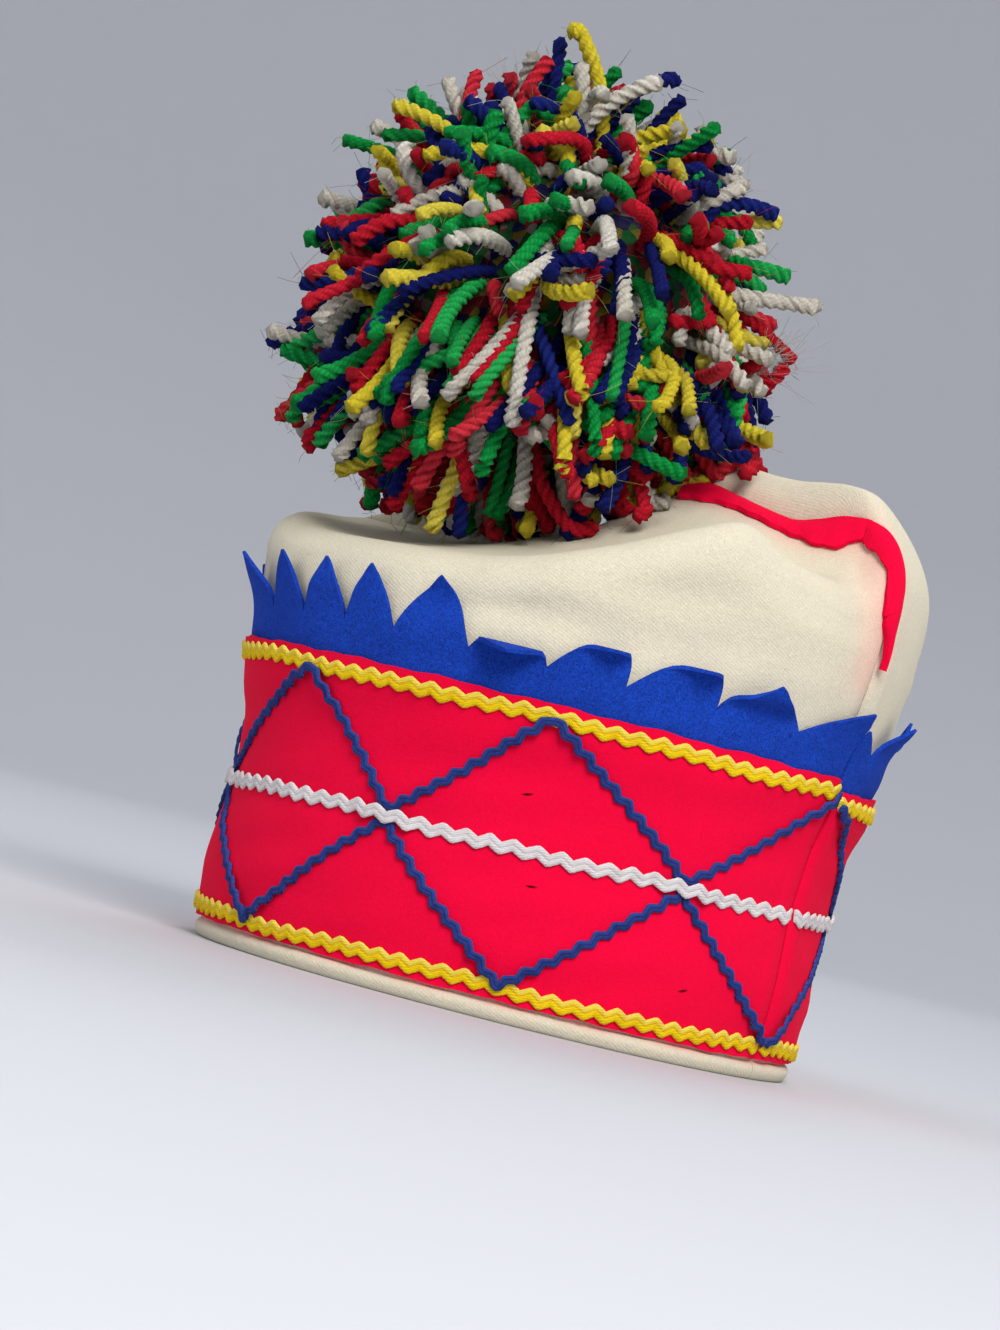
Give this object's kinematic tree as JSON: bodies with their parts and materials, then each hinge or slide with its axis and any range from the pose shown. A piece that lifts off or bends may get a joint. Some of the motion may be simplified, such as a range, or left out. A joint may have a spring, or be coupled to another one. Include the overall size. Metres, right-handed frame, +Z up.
{
  "type": "pom-pom ski cap",
  "caption": "Wool felt ski cap with a soft bag crown, a wide trimmed band, a pointed felt strip and a yarn pompom.",
  "frame": {"origin": "centre of the head opening, in the plane that the rim rests on", "axes": "+Z up through the crown; X from side seam to side seam, with +X towards the seam whose red strip shows; -Y is the front panel"},
  "size_m": [0.2137, 0.1956, 0.2867],
  "materials": {
    "cream_felt": "matte woven wool",
    "red_felt": "matte wool felt",
    "blue_felt": "matte wool felt",
    "yellow_braid": "woven braid",
    "white_braid": "woven braid",
    "navy_braid": "woven braid",
    "mixed_yarn": "plied wool yarn in red, navy, green, yellow and off-white"
  },
  "bodies": {
    "root": {"crown_panel_front": "cream_felt", "crown_panel_back": "cream_felt", "red_band_front": "red_felt", "red_band_back": "red_felt", "red_seam_strip": "red_felt", "pointed_strip_front": "blue_felt", "pointed_strip_back": "blue_felt", "yellow_lower_braid_front": "yellow_braid", "yellow_lower_braid_back": "yellow_braid", "yellow_upper_braid_front": "yellow_braid", "yellow_upper_braid_back": "yellow_braid", "white_middle_braid_front": "white_braid", "white_middle_braid_back": "white_braid", "navy_upper_braid_front": "navy_braid", "navy_upper_braid_back": "navy_braid", "navy_lower_braid_front": "navy_braid", "navy_lower_braid_back": "navy_braid", "pompom": "mixed_yarn"}
  },
  "joints": []
}
